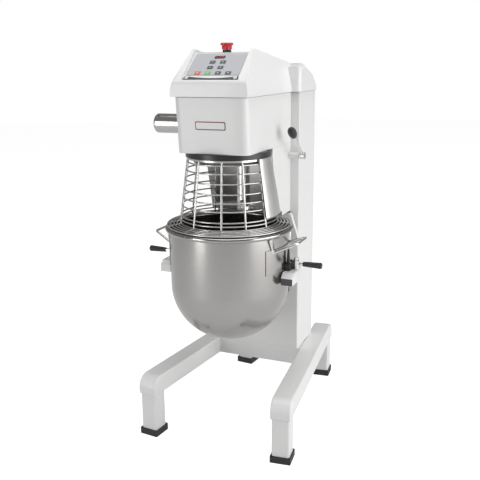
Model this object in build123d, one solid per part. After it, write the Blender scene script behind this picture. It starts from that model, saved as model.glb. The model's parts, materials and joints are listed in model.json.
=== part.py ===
from build123d import *
import math
import os

# Floor-standing planetary stand mixer with a 40 litre bowl.
# Millimetres, +Z up, front towards -Y. The origin is the middle of the footprint, on the floor.

# ---------------------------------------------------------------- driving dimensions
BOWL_Y = -197.0            # the bowl, guard and planetary head share one vertical axis at x = 0
FOOT_FRONT = (248.6, -338.1)
FOOT_REAR = (172.3, 378.5)
FOOT_SIZE = 71.0
FOOT_HEIGHT = 24.0
LEG_SIZE = 62.0
BEAM_Z = (159.0, 226.0)
BEAM_CORNER = 45.0
SHEET = 3.0                # folded steel casings

COLUMN_HALF = 160.0
COLUMN_Y = (76.0, 258.0)
COLUMN_TOP = 1204.0
SLIDE_SLOT = (-124.0, 124.0, 455.0, 1022.0)     # opening in the column front: x, x, z, z

HEAD_HALF = 127.0
HEAD_Z = (1024.0, 1204.0)
HEAD_FRONT_LOW = -327.0    # the front of the head leans forward towards the top
HEAD_FRONT_TOP = -343.0
HEAD_CORNER = 25.0
NECK_BOTTOM = 772.0

LID_Z = 1205.0
LID_HALF = 134.0
LID_COLUMN_HALF = 166.0
PANEL_FOOT = (-338.0, 1252.0)                   # y, z of the lower end of the sloping panel
PANEL_SLOPE = 39.4
RECESS_HALF = 99.0

HUB_Z = 1107.0             # height of the accessory drive on the left of the head
HUB_END = -269.0
HUB_RADIUS = 33.0
HUB_BORE = 19.0
HUB_BORE_DEPTH = 60.0

PLANET_ORBIT = 54.0        # offset of the tool spindle from the bowl axis
GEAR_MODULE = 3.0
RING_TEETH = 60
PLANET_TEETH = 24
BEVEL_TEETH = 20
BEVEL_MODULE = 2.0
SHAFT_R = 12.0
BEARING_R = 22.0
SPINDLE_R = 21.5
SPINDLE_Z = (826.0, 983.0)
SPINDLE_BORE = 12.5
SPINDLE_BORE_DEPTH = 90.0

MOTOR_Y = -4.0
MOTOR_PULLEY_R = 30.0
DRIVEN_PULLEY_R = 80.0
PULLEY_Z = (1152.0, 1178.0)
PULLEY_FLANGE = 3.0

COLLAR_R, COLLAR_Z = 144.0, (1005.0, 1024.0)    # black ring that the cage turns in
GUARD_TOP = (137.5, 1002.0)                     # radius, height of the wire cone
GUARD_FOOT = (167.8, 782.0)
BRIM = (212.0, 774.5)
GUARD_RINGS = (989, 962, 930, 897, 869, 842)    # wire hoops of the open front
GUARD_FULL_RINGS = (807, 795, 782)              # hoops that run right round
GUARD_WIRES = (-138, -104, -68, -52, -20, 15, 42.5, 70)
RING_WIRE = 2.5
UPRIGHT_WIRE = 3.0
SPLASH_START, SPLASH_END = 68, 222              # degrees covered by the fixed splash sheet
SPLASH_TOP, SPLASH_FOOT = (144.0, 1005.0), (176.0, 814.0)
SPLASH_WALL = 1.5

BOWL_R = 205.6
BOWL_WALL = 2.5
BOWL_BOTTOM = 362.0
BOWL_KNUCKLE = 562.0       # where the straight wall meets the rounded bottom
RIM_Z = 761.5
RIM_WIRE = 8.0

YOKE_R = (207.5, 248.0)
YOKE_Z = (587.0, 627.0)
YOKE_FRONT = -249.0
HORN = (216.2, BOWL_Y)
HORN_R = 4.5
POST = (238.0, -179.0)
POST_R = 6.0
LUG_Z = (628.0, 652.0)
LUG_OUT = 226.5
LATCH_TOP = 661.0
GRIP_Z = 647.5
GRIP_X = (262.0, 328.0)
GRIP_R = 11.0

PLATE_Y = (53.0, 70.0)     # front and back of the lifting carriage plate
ROD_X, ROD_Y, ROD_R = 80.0, 120.0, 15.0
LIFT_Y, LIFT_Z = 59.0, 981.0                    # axis of the lifting shaft
LIFT_SHAFT_R = 7.0
CRANK = 85.0
CRANK_PIN_R = 8.0
SLOT_SPARE = 3.6           # free height above and below the crank pin in its slot
LEVER_X = 177.0
LEVER_ANGLE = 141.0        # degrees from the rear (+Y), turning upwards
LEVER_LENGTH = 172.0
KNOB_LENGTH = 54.0

ESTOP_Y = -198.0
ESTOP_Z = 1341.5
TOP = 1371.0

FIT = 0.05                 # running fit of a shaft in its bush
GAP = 0.3                  # clearance between parts that move past each other


# ---------------------------------------------------------------- small helpers
def box(x, y, z):
    """Block between the low and high value on each axis."""
    size = (x[1] - x[0], y[1] - y[0], z[1] - z[0])
    centre = ((x[0] + x[1]) / 2, (y[0] + y[1]) / 2, (z[0] + z[1]) / 2)
    return Pos(*centre) * Box(*size)


def rod(start, end, radius):
    """Round bar from one point to another."""
    along = Vector(*end) - Vector(*start)
    low = (Align.CENTER, Align.CENTER, Align.MIN)
    return Plane(origin=start, z_dir=along) * Cylinder(radius, along.length, align=low)


def disc(radius, z, at=(0, BOWL_Y)):
    return rod((at[0], at[1], z[0]), (at[0], at[1], z[1]), radius)


def turned(points, arc=360):
    """Ring or shell turned about the bowl axis from (radius, height) points."""
    face = Plane.XZ * Polygon(*points, align=None)
    return Pos(0, BOWL_Y, 0) * revolve(face, Axis.Z, revolution_arc=arc)


def prism(points, half_width):
    """Solid with a (y, z) outline, as wide as twice half_width."""
    return extrude(Plane.YZ * Polygon(*points, align=None), half_width, both=True)


def mirrored(shape):
    return mirror(shape, Plane.YZ)


def guard_radius(z):
    slope = (GUARD_FOOT[0] - GUARD_TOP[0]) / (GUARD_TOP[1] - GUARD_FOOT[1])
    return GUARD_TOP[0] + (GUARD_TOP[1] - z) * slope


def at_angle(radius, degrees, z):
    """Point about the bowl axis; 0 degrees is the front, positive towards +X."""
    turn = math.radians(degrees)
    return (radius * math.sin(turn), BOWL_Y - radius * math.cos(turn), z)


def involute(radius, base):
    lean = math.acos(min(1.0, base / radius))
    return math.tan(lean) - lean


def gear_face(teeth, module, addendum, dedendum, backlash, steps=4):
    """Involute spur gear outline with a tooth centred on the local x axis."""
    pitch = teeth * module / 2
    base = pitch * math.cos(math.radians(20))
    root = pitch - dedendum * module
    tip = pitch + addendum * module
    half = math.pi / (2 * teeth) - backlash / (2 * pitch)
    points = []
    for tooth in range(teeth):
        middle = 2 * math.pi * tooth / teeth
        low = max(root, base)
        radii = [low + (tip - low) * step / (steps - 1) for step in range(steps)]
        turns = [half + involute(pitch, base) - involute(radius, base) for radius in radii]
        flank = [(root, turns[0])] * (root < low) + list(zip(radii, turns))
        for radius, turn in [(r, -t) for r, t in flank] + flank[::-1]:
            points.append((radius * math.cos(middle + turn), radius * math.sin(middle + turn)))
    return Polygon(*points, align=None)


# ---------------------------------------------------------------- stand
SPLAY = math.degrees(math.atan2(FOOT_FRONT[0] - FOOT_REAR[0], FOOT_REAR[1] - FOOT_FRONT[1]))
WHEELBASE = math.hypot(FOOT_FRONT[0] - FOOT_REAR[0], FOOT_REAR[1] - FOOT_FRONT[1])
BEAM_MIDDLE = ((FOOT_FRONT[0] + FOOT_REAR[0]) / 2, (FOOT_FRONT[1] + FOOT_REAR[1]) / 2)


def beam_outline(inset):
    length = WHEELBASE + FOOT_SIZE - 2 * inset
    height = BEAM_Z[1] - BEAM_Z[0] - 2 * inset
    outline = Rectangle(length, height)
    return fillet(outline.vertices().sort_by(Axis.Y)[-2:], BEAM_CORNER - inset)


def side_beam():
    """Closed box section; its ends curve down to the legs."""
    outside = extrude(Plane.YZ * beam_outline(0), FOOT_SIZE / 2, both=True)
    inside = extrude(Plane.YZ * beam_outline(SHEET), FOOT_SIZE / 2 - SHEET, both=True)
    outside = fillet(outside.edges().filter_by(Axis.Y).sort_by(Axis.Z)[-2:], 6)
    height = (BEAM_Z[0] + BEAM_Z[1]) / 2
    return Pos(*BEAM_MIDDLE, height) * Rot(0, 0, SPLAY) * (outside - inside)


def at_feet(shape):
    """The same solid under each end of both beams."""
    right = [Pos(x, y, 0) * Rot(0, 0, SPLAY) * shape for x, y in (FOOT_FRONT, FOOT_REAR)]
    return right + [mirrored(solid) for solid in right]


BOOT_FLOOR = 8.0


def leg_tube():
    height = BEAM_Z[0] - BOOT_FLOOR
    outside = extrude(RectangleRounded(LEG_SIZE, LEG_SIZE, 7), height)
    inside = extrude(RectangleRounded(LEG_SIZE - 2 * SHEET, LEG_SIZE - 2 * SHEET, 4), height)
    return Pos(0, 0, BOOT_FLOOR) * (outside - inside)


def rubber_foot():
    """Square boot pushed over the end of a leg."""
    boot = extrude(RectangleRounded(FOOT_SIZE, FOOT_SIZE, 1.0), FOOT_HEIGHT)
    pocket = extrude(RectangleRounded(LEG_SIZE, LEG_SIZE, 7), FOOT_HEIGHT)
    return boot - Pos(0, 0, BOOT_FLOOR) * pocket


def beam_inner_x(y):
    """Inner face of the right beam at a given depth."""
    turn = math.radians(SPLAY)
    return FOOT_FRONT[0] - (y - FOOT_FRONT[1]) * math.tan(turn) - FOOT_SIZE / 2 / math.cos(turn)


def base_plinth():
    """Folded box that ties the two beams together under the column."""
    front, back = COLUMN_Y
    wide, narrow = beam_inner_x(front), beam_inner_x(back)
    outline = Polygon((-wide, front), (wide, front), (narrow, back), (-narrow, back), align=None)
    hollow = Polygon((SHEET - wide, front + SHEET), (wide - SHEET, front + SHEET),
                     (narrow - SHEET, back - SHEET), (SHEET - narrow, back - SHEET), align=None)
    height = BEAM_Z[1] - BEAM_Z[0]
    return Pos(0, 0, BEAM_Z[0]) * (extrude(outline, height) - extrude(hollow, height - SHEET))


# ---------------------------------------------------------------- column
REAR_COVER = ((SHEET - COLUMN_HALF, COLUMN_HALF - SHEET), (BEAM_Z[1] + SHEET, COLUMN_TOP))


def column_shell():
    """Front and sides in one folded sheet, open at the back and the top."""
    outside = box((-COLUMN_HALF, COLUMN_HALF), COLUMN_Y, (BEAM_Z[1], COLUMN_TOP))
    outside = fillet(outside.edges().filter_by(Axis.Z).sort_by(Axis.Y)[:2], 5)
    inside = box(REAR_COVER[0], (COLUMN_Y[0] + SHEET, COLUMN_Y[1] + 1), (REAR_COVER[1][0], COLUMN_TOP + 1))
    left, right, low, high = SLIDE_SLOT
    return outside - inside - box((left, right), (COLUMN_Y[0] - 1, COLUMN_Y[0] + 10), (low, high))


def cover_screw_places():
    low, high = REAR_COVER[1]
    heights = [low + 20 + row * (high - low - 40) / 4 for row in range(5)]
    return [(side * 142, z) for side in (-1, 1) for z in heights]


def column_rear_cover():
    """Removable back panel with two banks of cooling slots."""
    panel = box(REAR_COVER[0], (COLUMN_Y[1] - SHEET, COLUMN_Y[1]), REAR_COVER[1])
    for base in (300, 1080):
        for row in range(6):
            slot = extrude(Plane.XZ * SlotOverall(160, 7), 20, both=True)
            panel -= Pos(0, COLUMN_Y[1], base + 16 * row) * slot
    for x, z in cover_screw_places():
        panel -= rod((x, COLUMN_Y[1] - 10, z), (x, COLUMN_Y[1] + 10, z), 2.5)
    return panel


def cover_screws():
    """Domed screws that hold the back panel."""
    screws = []
    for x, z in cover_screw_places():
        head = rod((x, COLUMN_Y[1], z), (x, COLUMN_Y[1] + 3, z), 6)
        head = fillet(head.edges().sort_by(Axis.Y)[-1:], 2)
        screws.append(head + rod((x, COLUMN_Y[1] - SHEET, z), (x, COLUMN_Y[1], z), 2.5))
    return screws


ROD_BARS = ((REAR_COVER[1][0], REAR_COVER[1][0] + 28), (1076.0, 1104.0))


def guide_rods():
    """Two ground rods and the cross bars that hold their ends."""
    rods = []
    for side in (-1, 1):
        rods.append(disc(ROD_R, (ROD_BARS[0][0], ROD_BARS[1][1]), (side * ROD_X, ROD_Y)))
    bars = []
    for z in ROD_BARS:
        bar = box(REAR_COVER[0], (ROD_Y - 25, ROD_Y + 25), z)
        for solid in rods:
            bar -= solid
        bars.append(bar)
    return rods + bars


# ---------------------------------------------------------------- head
def guard_clearance(extra):
    """Space round the guard that the neck keeps clear of."""
    slope = (SPLASH_FOOT[0] - SPLASH_TOP[0]) / (SPLASH_TOP[1] - SPLASH_FOOT[1])
    collar = COLLAR_R + extra
    foot = SPLASH_FOOT[0] + (SPLASH_FOOT[1] - NECK_BOTTOM + 1) * slope + extra
    cone = turned([(0, NECK_BOTTOM - 1), (foot, NECK_BOTTOM - 1), (collar, COLLAR_Z[0]),
                   (collar, COLLAR_Z[1] + 1), (0, COLLAR_Z[1] + 1)])
    return cone + disc(BRIM[0] + 3 + extra, (NECK_BOTTOM - 1, GUARD_FOOT[1] + extra))


def neck_housing():
    """Hollow housing behind the guard; it closes the front of the lift mechanism."""
    side = (-HEAD_HALF, HEAD_HALF)
    inner_side = (SHEET - HEAD_HALF, HEAD_HALF - SHEET)
    depth = (-110, COLUMN_Y[0])
    body = box(side, depth, (NECK_BOTTOM, HEAD_Z[0])) - guard_clearance(6)
    hollow = box(inner_side, (-110, COLUMN_Y[0] + 1), (NECK_BOTTOM + SHEET, HEAD_Z[0] + 1))
    body -= hollow - guard_clearance(6 + SHEET)
    return body - rod((100, LIFT_Y, LIFT_Z), (140, LIFT_Y, LIFT_Z), 10.5)


def head_outline(inset):
    low, high = HEAD_Z
    back = COLUMN_Y[0]
    return [(back, low + inset), (HEAD_FRONT_LOW + inset, low + inset),
            (HEAD_FRONT_TOP + inset, high), (back, high)]


def head_casing():
    """Cast head with a leaning front; open at the top and towards the column."""
    outside = prism(head_outline(0), HEAD_HALF)
    corners = [edge for edge in outside.edges() if edge.center().Y < -320 and edge.length < 200]
    outside = fillet(corners, HEAD_CORNER)
    inside = prism(head_outline(SHEET), HEAD_HALF - SHEET)
    corners = [edge for edge in inside.edges() if edge.center().Y < -317 and edge.length < 200]
    inside = fillet(corners, HEAD_CORNER - SHEET)
    casing = outside - inside - disc(RING_OUT + 1, (HEAD_Z[0] - 1, HEAD_Z[0] + 10))
    return casing - rod((-130, BOWL_Y, HUB_Z), (-110, BOWL_Y, HUB_Z), 25)


RING_OUT = 99.0


def lid_body(inset):
    """Solid under the lid's outer faces, drawn in by inset."""
    half = LID_HALF - inset
    base = LID_Z - (1 if inset else 0)
    front = [(-350 + inset, base), (-347 + inset, 1243), (-342 + inset, 1254 - inset),
             (-231, 1352 - inset), (110, 1302 - inset), (110, base)]
    body = prism(front, half)
    for side in (-1, 1):
        shoulder = Polygon((side * half, 1222), (side * (half + 40), 1222), (side * (half + 40), 1400),
                           (side * (107 - inset) - side * 10, 1400), (side * (107 - inset), 1353 - inset),
                           align=None)
        body -= extrude(Plane.XZ * shoulder, 500, both=True)
    back = [(60 + inset, base), (60 + inset, 1292 - inset), (109, 1304 - inset), (212, 1268 - inset),
            (240 - inset, 1246 - inset), (252 - inset, base)]
    tail = prism(back, LID_COLUMN_HALF - inset)
    edges = [edge for edge in tail.edges() if edge.length < 200 and edge.center().Z > 1230
             and abs(edge.center().X) > 100]
    return body + fillet(edges, 16)


def panel_plane():
    turn = math.radians(PANEL_SLOPE)
    normal = (0, -math.sin(turn), math.cos(turn))
    return Plane(origin=(0, *PANEL_FOOT), x_dir=(1, 0, 0), z_dir=normal)


def on_panel(shape):
    return panel_plane() * shape


def top_cover():
    """Moulded lid: a sloping control recess between two cheeks, then a dished top."""
    lid = lid_body(0) - lid_body(SHEET)
    turn = math.radians(PANEL_SLOPE)
    crest = (PANEL_FOOT[0] + 137 * math.cos(turn), PANEL_FOOT[1] + 137 * math.sin(turn))
    floor = [PANEL_FOOT, crest, (ESTOP_Y, ESTOP_Z), (60, 1298)]
    below = [(y, z - SHEET) for y, z in floor] + [(60, 1294), (-300, 1250)]
    skin = prism(floor + below[3::-1], RECESS_HALF + SHEET)
    space = prism([*floor, (60, 1400), (PANEL_FOOT[0], 1400)], RECESS_HALF)
    cheeks = prism([*floor, (60, 1400), (PANEL_FOOT[0], 1400)], RECESS_HALF + SHEET) - space
    lid = (lid - space) + ((skin + cheeks) & lid_body(0))
    lid -= on_panel(box((-70, 70), (30, 122), (-SHEET - 1, 1)))
    return lid - disc(8, (1300, 1345), (0, ESTOP_Y))


KEYS = {"speed_down_key": (-18, 89.3), "speed_up_key": (18, 89.3),
        "time_down_key": (-18, 63.4), "time_up_key": (18, 63.4),
        "stop_key": (-53, 37.5), "start_key": (-18, 37.5),
        "program_key": (18, 37.5), "light_key": (53, 37.5)}
KEY_SIZE = (19.0, 14.0)
PANEL_THICK = 2.0


def control_panel():
    """Flat keypad plate with a pocket for each key."""
    plate = extrude(Polygon((-92, 29), (92, 29), (89, 132), (-89, 132), align=None), PANEL_THICK)
    for x, y in KEYS.values():
        plate -= Pos(x, y, 0) * extrude(RectangleRounded(KEY_SIZE[0] + 2 * GAP, KEY_SIZE[1] + 2 * GAP, 2),
                                        10, both=True)
    return on_panel(plate)


def panel_key(place):
    """Short-stroke key, a little proud of the plate."""
    cap = extrude(RectangleRounded(*KEY_SIZE, 2), PANEL_THICK + 1.4)
    return on_panel(Pos(place[0], place[1], 0.2) * chamfer(cap.faces().sort_by(Axis.Z)[-1].edges(), 0.5))


TRIM_SCREWS = (-84.0, 84.0)


def panel_trim_strip():
    """Dark strip under the keypad, waisted in the middle."""
    top_edge = ThreePointArc((92, 24), (0, 14.5), (-92, 24))
    rest = Polyline((-92, 24), (-95, 8.5), (95, 8.5), (92, 24))
    strip = extrude(make_face([top_edge, *rest.edges()]), PANEL_THICK)
    for x in TRIM_SCREWS:
        strip += Pos(x, 16, 0) * extrude(Circle(4.5), PANEL_THICK + 1)
    return on_panel(strip)


def nameplate():
    """Blank badge on the front of the head."""
    lean = math.degrees(math.atan2(HEAD_FRONT_LOW - HEAD_FRONT_TOP, HEAD_Z[1] - HEAD_Z[0]))
    height = 1115.5
    share = (height - HEAD_Z[0]) / (HEAD_Z[1] - HEAD_Z[0])
    y = HEAD_FRONT_LOW + share * (HEAD_FRONT_TOP - HEAD_FRONT_LOW)
    plate = extrude(RectangleRounded(106, 27, 5), 1.5)
    return Pos(0, y, height) * Rot(90 + lean, 0, 0) * plate


# ---------------------------------------------------------------- emergency stop
def estop_collar():
    ring = disc(14, (ESTOP_Z, ESTOP_Z + 8), (0, ESTOP_Y))
    return ring - disc(6 + GAP, (ESTOP_Z - 1, ESTOP_Z + 9), (0, ESTOP_Y))


def estop_button():
    """Mushroom button; its skirt slides down over the collar."""
    place = (0, ESTOP_Y)
    body = disc(16.5, (ESTOP_Z + 8.5, TOP - 7), place) + disc(21, (TOP - 8, TOP), place)
    body = fillet(body.edges().sort_by(Axis.Z)[-1:], 3)
    body -= disc(14 + 0.4, (ESTOP_Z + 8, ESTOP_Z + 14), place)
    return body + disc(6, (ESTOP_Z - 12, ESTOP_Z + 15), place)


# ---------------------------------------------------------------- drive
CASE_HALF = 60.0
CASE_Z = (1037.0, 1145.0)
CASE_WALL = 10.0
FLOOR_TOP = HEAD_Z[0] + SHEET


def gearbox_case():
    """Cast case on the floor of the head; it carries both shafts."""
    side = (-CASE_HALF, CASE_HALF)
    depth = (BOWL_Y - CASE_HALF, BOWL_Y + CASE_HALF)
    case = disc(120, (FLOOR_TOP, CASE_Z[0])) + box(side, depth, CASE_Z)
    hollow = CASE_HALF - CASE_WALL
    case -= box((-hollow, hollow), (BOWL_Y - hollow, BOWL_Y + hollow), (FLOOR_TOP + 14, CASE_Z[1] - CASE_WALL))
    case -= disc(BEARING_R, (FLOOR_TOP - 1, CASE_Z[1] + 1))
    return case - rod((-CASE_HALF - 1, BOWL_Y, HUB_Z), (-hollow + 1, BOWL_Y, HUB_Z), BEARING_R)


def shaft_bearings():
    """Ball bearings, each as one sealed ring."""
    places = [((0, BOWL_Y, FLOOR_TOP), (0, BOWL_Y, FLOOR_TOP + 14)),
              ((0, BOWL_Y, CASE_Z[1] - CASE_WALL), (0, BOWL_Y, CASE_Z[1])),
              ((-CASE_HALF, BOWL_Y, HUB_Z), (CASE_WALL - CASE_HALF, BOWL_Y, HUB_Z))]
    return [rod(low, high, BEARING_R) - rod(low, high, SHAFT_R + FIT) for low, high in places]


def ring_gear():
    """Fixed internal gear that the planet runs round."""
    width = (1003.0, FLOOR_TOP)
    spaces = extrude(gear_face(RING_TEETH, GEAR_MODULE, 1.25, 0.85, -0.5), width[1] - width[0])
    return disc(RING_OUT, width) - Pos(0, BOWL_Y, width[0]) * spaces


def planet_gear():
    face = gear_face(PLANET_TEETH, GEAR_MODULE, 0.85, 1.2, 0.5)
    blank = Pos(PLANET_ORBIT, BOWL_Y, 1004) * extrude(face, 19)
    return blank - disc(SHAFT_R, (1000, 1030), (PLANET_ORBIT, BOWL_Y))


def planetary_drum():
    """Carrier plate; it hangs from the main shaft and carries the tool spindle off centre."""
    drum = fillet(disc(118, (985, 1000)).edges().sort_by(Axis.Z)[:1], 4)
    return drum - disc(SHAFT_R, (980, 1010)) - disc(16 + FIT, (980, 1010), (PLANET_ORBIT, BOWL_Y))


def bevel_gear():
    """Straight bevel gear under an apex at the origin, with its axis along z."""
    radius = BEVEL_TEETH * BEVEL_MODULE / 2
    points = []
    for tooth in range(BEVEL_TEETH):
        middle = 360 / BEVEL_TEETH * tooth
        for share, reach in ((-4.6, -1.1), (-2.0, 0.8), (2.0, 0.8), (4.6, -1.1)):
            turn = math.radians(middle + share)
            size = radius + reach * BEVEL_MODULE
            points.append((size * math.cos(turn), size * math.sin(turn)))
    far = Pos(0, 0, -radius) * Polygon(*points, align=None)
    near = Pos(0, 0, -0.7 * radius) * Polygon(*[(0.7 * x, 0.7 * y) for x, y in points], align=None)
    return loft([far, near], ruled=True)


def main_shaft():
    shaft = disc(SHAFT_R, (985, PULLEY_Z[1] + 8))
    gear = Pos(0, BOWL_Y, HUB_Z) * bevel_gear()
    return shaft + gear + disc(16, (HUB_Z - 32, HUB_Z - 20))


def hub_drive_shaft():
    """Cross shaft that drives whatever is pushed into the accessory hub."""
    half_pitch = 180 / BEVEL_TEETH
    gear = Pos(0, BOWL_Y, HUB_Z) * Rot(0, 90, 0) * Rot(0, 0, half_pitch) * bevel_gear()
    end = HUB_END + HUB_BORE_DEPTH + 1
    shaft = rod((-16, BOWL_Y, HUB_Z), (end, BOWL_Y, HUB_Z), SHAFT_R)
    socket = box((end - 1, end + 25), (BOWL_Y - 6, BOWL_Y + 6), (HUB_Z - 6, HUB_Z + 6))
    return shaft + gear + rod((-34, BOWL_Y, HUB_Z), (-20, BOWL_Y, HUB_Z), 15) - socket


def accessory_hub():
    """Bored boss for meat mincers and vegetable cutters."""
    hub = rod((-HEAD_HALF, BOWL_Y, HUB_Z), (HUB_END, BOWL_Y, HUB_Z), HUB_RADIUS)
    hub = fillet(hub.edges().sort_by(Axis.X)[:1], 9)
    hub += rod((-112, BOWL_Y, HUB_Z), (-HEAD_HALF, BOWL_Y, HUB_Z), 25)
    hub -= rod((-100, BOWL_Y, HUB_Z), (HUB_END - 1, BOWL_Y, HUB_Z), SHAFT_R + GAP)
    hub -= rod((HUB_END + HUB_BORE_DEPTH, BOWL_Y, HUB_Z), (HUB_END - 1, BOWL_Y, HUB_Z), HUB_BORE)
    pin = math.radians(50)
    outer = (HUB_END + 18, BOWL_Y - 60 * math.cos(pin), HUB_Z + 60 * math.sin(pin))
    return hub - rod((HUB_END + 18, BOWL_Y, HUB_Z), outer, 3.5)


def tool_spindle():
    """Downward socket with two bayonet slots for the whisk, hook or beater."""
    place = (PLANET_ORBIT, BOWL_Y)
    spindle = disc(SPINDLE_R, SPINDLE_Z, place) + disc(16, (SPINDLE_Z[1], 1002), place)
    spindle += disc(SHAFT_R, (1002, 1025), place)
    low = SPINDLE_Z[0]
    spindle -= disc(SPINDLE_BORE, (low - 1, low + SPINDLE_BORE_DEPTH), place)
    for side in (0, 180):
        slot = box((-3, 3), (-30, -8), (low - 1, low + 34))
        foot = Rot(0, 0, -90) * revolve(Plane.XZ * Pos(19, low + 30) * Rectangle(22, 8), Axis.Z, 26)
        spindle -= Pos(*place, 0) * Rot(0, 0, side) * (slot + foot)
    return spindle


def pulley(radius, bore, at):
    width = PULLEY_Z[1] - PULLEY_Z[0]
    rim = disc(radius, PULLEY_Z, at)
    for z in (PULLEY_Z[0], PULLEY_Z[1] - PULLEY_FLANGE):
        rim += disc(radius + 6, (z, z + PULLEY_FLANGE), at)
    if radius > 50:
        for spoke in range(6):
            hole = Pos(*at, 0) * Rot(0, 0, 60 * spoke) * Pos(48, 0, PULLEY_Z[0] + width / 2)
            rim -= hole * Cylinder(15, width + 2)
    return rim - disc(bore, (PULLEY_Z[0] - 1, PULLEY_Z[1] + 1), at)


def driven_pulley():
    return pulley(DRIVEN_PULLEY_R, SHAFT_R, (0, BOWL_Y))


def motor_pulley():
    """Small pulley with the geared motor's output shaft."""
    at = (0, MOTOR_Y)
    return pulley(MOTOR_PULLEY_R, 9, at) + disc(9, (1136, PULLEY_Z[1] + 4), at)


def belt_outline(spare):
    """Outline round both pulleys, larger than them by spare."""
    big, small = DRIVEN_PULLEY_R + spare, MOTOR_PULLEY_R + spare
    span = MOTOR_Y - BOWL_Y
    lean = math.acos((big - small) / span)
    x, y = math.sin(lean), math.cos(lean)
    flanks = Polygon((-big * x, BOWL_Y + big * y), (big * x, BOWL_Y + big * y),
                     (small * x, MOTOR_Y + small * y), (-small * x, MOTOR_Y + small * y), align=None)
    return flanks + Pos(0, BOWL_Y) * Circle(big) + Pos(0, MOTOR_Y) * Circle(small)


def drive_belt():
    edge = PULLEY_FLANGE + GAP + 0.2
    low, high = PULLEY_Z[0] + edge, PULLEY_Z[1] - edge
    loop = belt_outline(4.5) - belt_outline(GAP)
    return Pos(0, 0, low) * extrude(loop, high - low)


def gear_motor():
    """Flanged geared motor with cooling fins."""
    at = (0, MOTOR_Y)
    half = 70
    motor = box((-half, half), (MOTOR_Y - half, MOTOR_Y + half), (FLOOR_TOP, FLOOR_TOP + 8))
    motor += disc(60, (FLOOR_TOP, 1125), at)
    for fin in range(24):
        blade = box((58, 69), (-1.5, 1.5), (FLOOR_TOP + 12, 1118))
        motor += Pos(*at, 0) * Rot(0, 0, 15 * fin) * blade
    motor += disc(30, (1125, 1140), at)
    return motor - disc(9 + FIT, (1130, 1141), at) - disc(9 + 2, (1120, 1136), at)


# ---------------------------------------------------------------- guard
GROOVE = (141.5, (1011.6, 1017.4))                 # radius of the groove's floor, its heights


def guard_collar():
    """Fixed black ring with an inner groove that the cage turns in."""
    inner = COLLAR_R - 6
    floor, (low, high) = GROOVE
    return turned([(inner, COLLAR_Z[0]), (COLLAR_R, COLLAR_Z[0]), (COLLAR_R, COLLAR_Z[1]),
                   (inner, COLLAR_Z[1]), (inner, high), (floor, high), (floor, low), (inner, low)])


def hoop(radius, z, wire, start=-180, arc=360):
    ring = Torus(radius, wire, major_angle=arc, align=None)
    return Pos(0, BOWL_Y, z) * Rot(0, 0, start - 90) * ring


def guard_cage():
    """Welded wire cage on a turning ring, whose lip runs in the collar's groove."""
    inner, outer = COLLAR_R - 9.3, COLLAR_R - 6.3
    lip, (low, high) = GROOVE[0] - 0.4, (GROOVE[1][0] + 0.4, GROOVE[1][1] - 0.4)
    cage = turned([(inner, COLLAR_Z[0] - 7), (outer, COLLAR_Z[0] - 7), (outer, low), (lip, low),
                   (lip, high), (inner, high)])
    first, last = GUARD_WIRES[0], GUARD_WIRES[-1]
    for z in GUARD_RINGS:
        cage += hoop(guard_radius(z), z, RING_WIRE, first, last - first)
    for z in GUARD_FULL_RINGS:
        cage += hoop(guard_radius(z), z, RING_WIRE)
    for step in (0.25, 0.5, 0.75, 1.0):
        radius = GUARD_FOOT[0] + step * (BRIM[0] - GUARD_FOOT[0])
        cage += hoop(radius, GUARD_FOOT[1] + step * (BRIM[1] - GUARD_FOOT[1]), RING_WIRE)
    for angle in GUARD_WIRES:
        cage += rod(at_angle(GUARD_TOP[0], angle, GUARD_TOP[1]), at_angle(GUARD_FOOT[0], angle, GUARD_FOOT[1]),
                    UPRIGHT_WIRE)
    for angle in (*GUARD_WIRES, 105, 140, 175, 205):
        cage += rod(at_angle(GUARD_FOOT[0] - 1, angle, GUARD_FOOT[1]), at_angle(BRIM[0], angle, BRIM[1]),
                    RING_WIRE)
    return cage


def splash_sheet():
    """Fixed stainless sheet that hangs from the collar, outside the cage."""
    (top, high), (foot, low) = SPLASH_TOP, SPLASH_FOOT
    sheet = turned([(top, high), (foot, low), (foot - SPLASH_WALL, low), (top - SPLASH_WALL, high)],
                   SPLASH_END - SPLASH_START)
    return Pos(0, BOWL_Y, 0) * Rot(0, 0, SPLASH_START - 90) * Pos(0, -BOWL_Y, 0) * sheet


# ---------------------------------------------------------------- bowl
def bowl_solid(inset):
    radius, depth = BOWL_R - inset, BOWL_KNUCKLE - BOWL_BOTTOM - inset
    curve = EllipticalCenterArc((0, BOWL_KNUCKLE), radius, depth, start_angle=270, arc_size=90)
    top = RIM_Z + (20 if inset else 0)
    lines = Polyline((radius, BOWL_KNUCKLE), (radius, top), (0, top), (0, BOWL_BOTTOM + inset))
    face = make_face([curve, *lines.edges()])
    return Pos(0, BOWL_Y, 0) * revolve(Plane.XZ * face, Axis.Z)


def bowl():
    shell = bowl_solid(0) + hoop(RIM_WIRE + BOWL_R - 1, RIM_Z, RIM_WIRE)
    return shell - bowl_solid(BOWL_WALL)


SIDE_PLATE = 3.0
SIDE_PLATE_Z = (630.0, 714.0)


def bowl_side_plates():
    """Curved doublers welded to the bowl where its lugs sit."""
    span = 63
    low, high = SIDE_PLATE_Z
    outer = BOWL_R + SIDE_PLATE
    plate = turned([(BOWL_R, low), (outer, low), (outer, high), (BOWL_R, high)], span)
    right = Pos(0, BOWL_Y, 0) * Rot(0, 0, -span / 2) * Pos(0, -BOWL_Y, 0) * plate
    return [right, mirrored(right)]


def bowl_lugs():
    """Lugs that rest on the yoke; each is slotted to the rear for its horn."""
    block = box((200, LUG_OUT), (-212, -170), LUG_Z) - disc(BOWL_R + SIDE_PLATE, (600, 700))
    block -= rod((*HORN, 600), (*HORN, 700), 5)
    block -= box((HORN[0] - 5, HORN[0] + 5), (BOWL_Y, -160), (600, 700))
    return [block, mirrored(block)]


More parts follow.
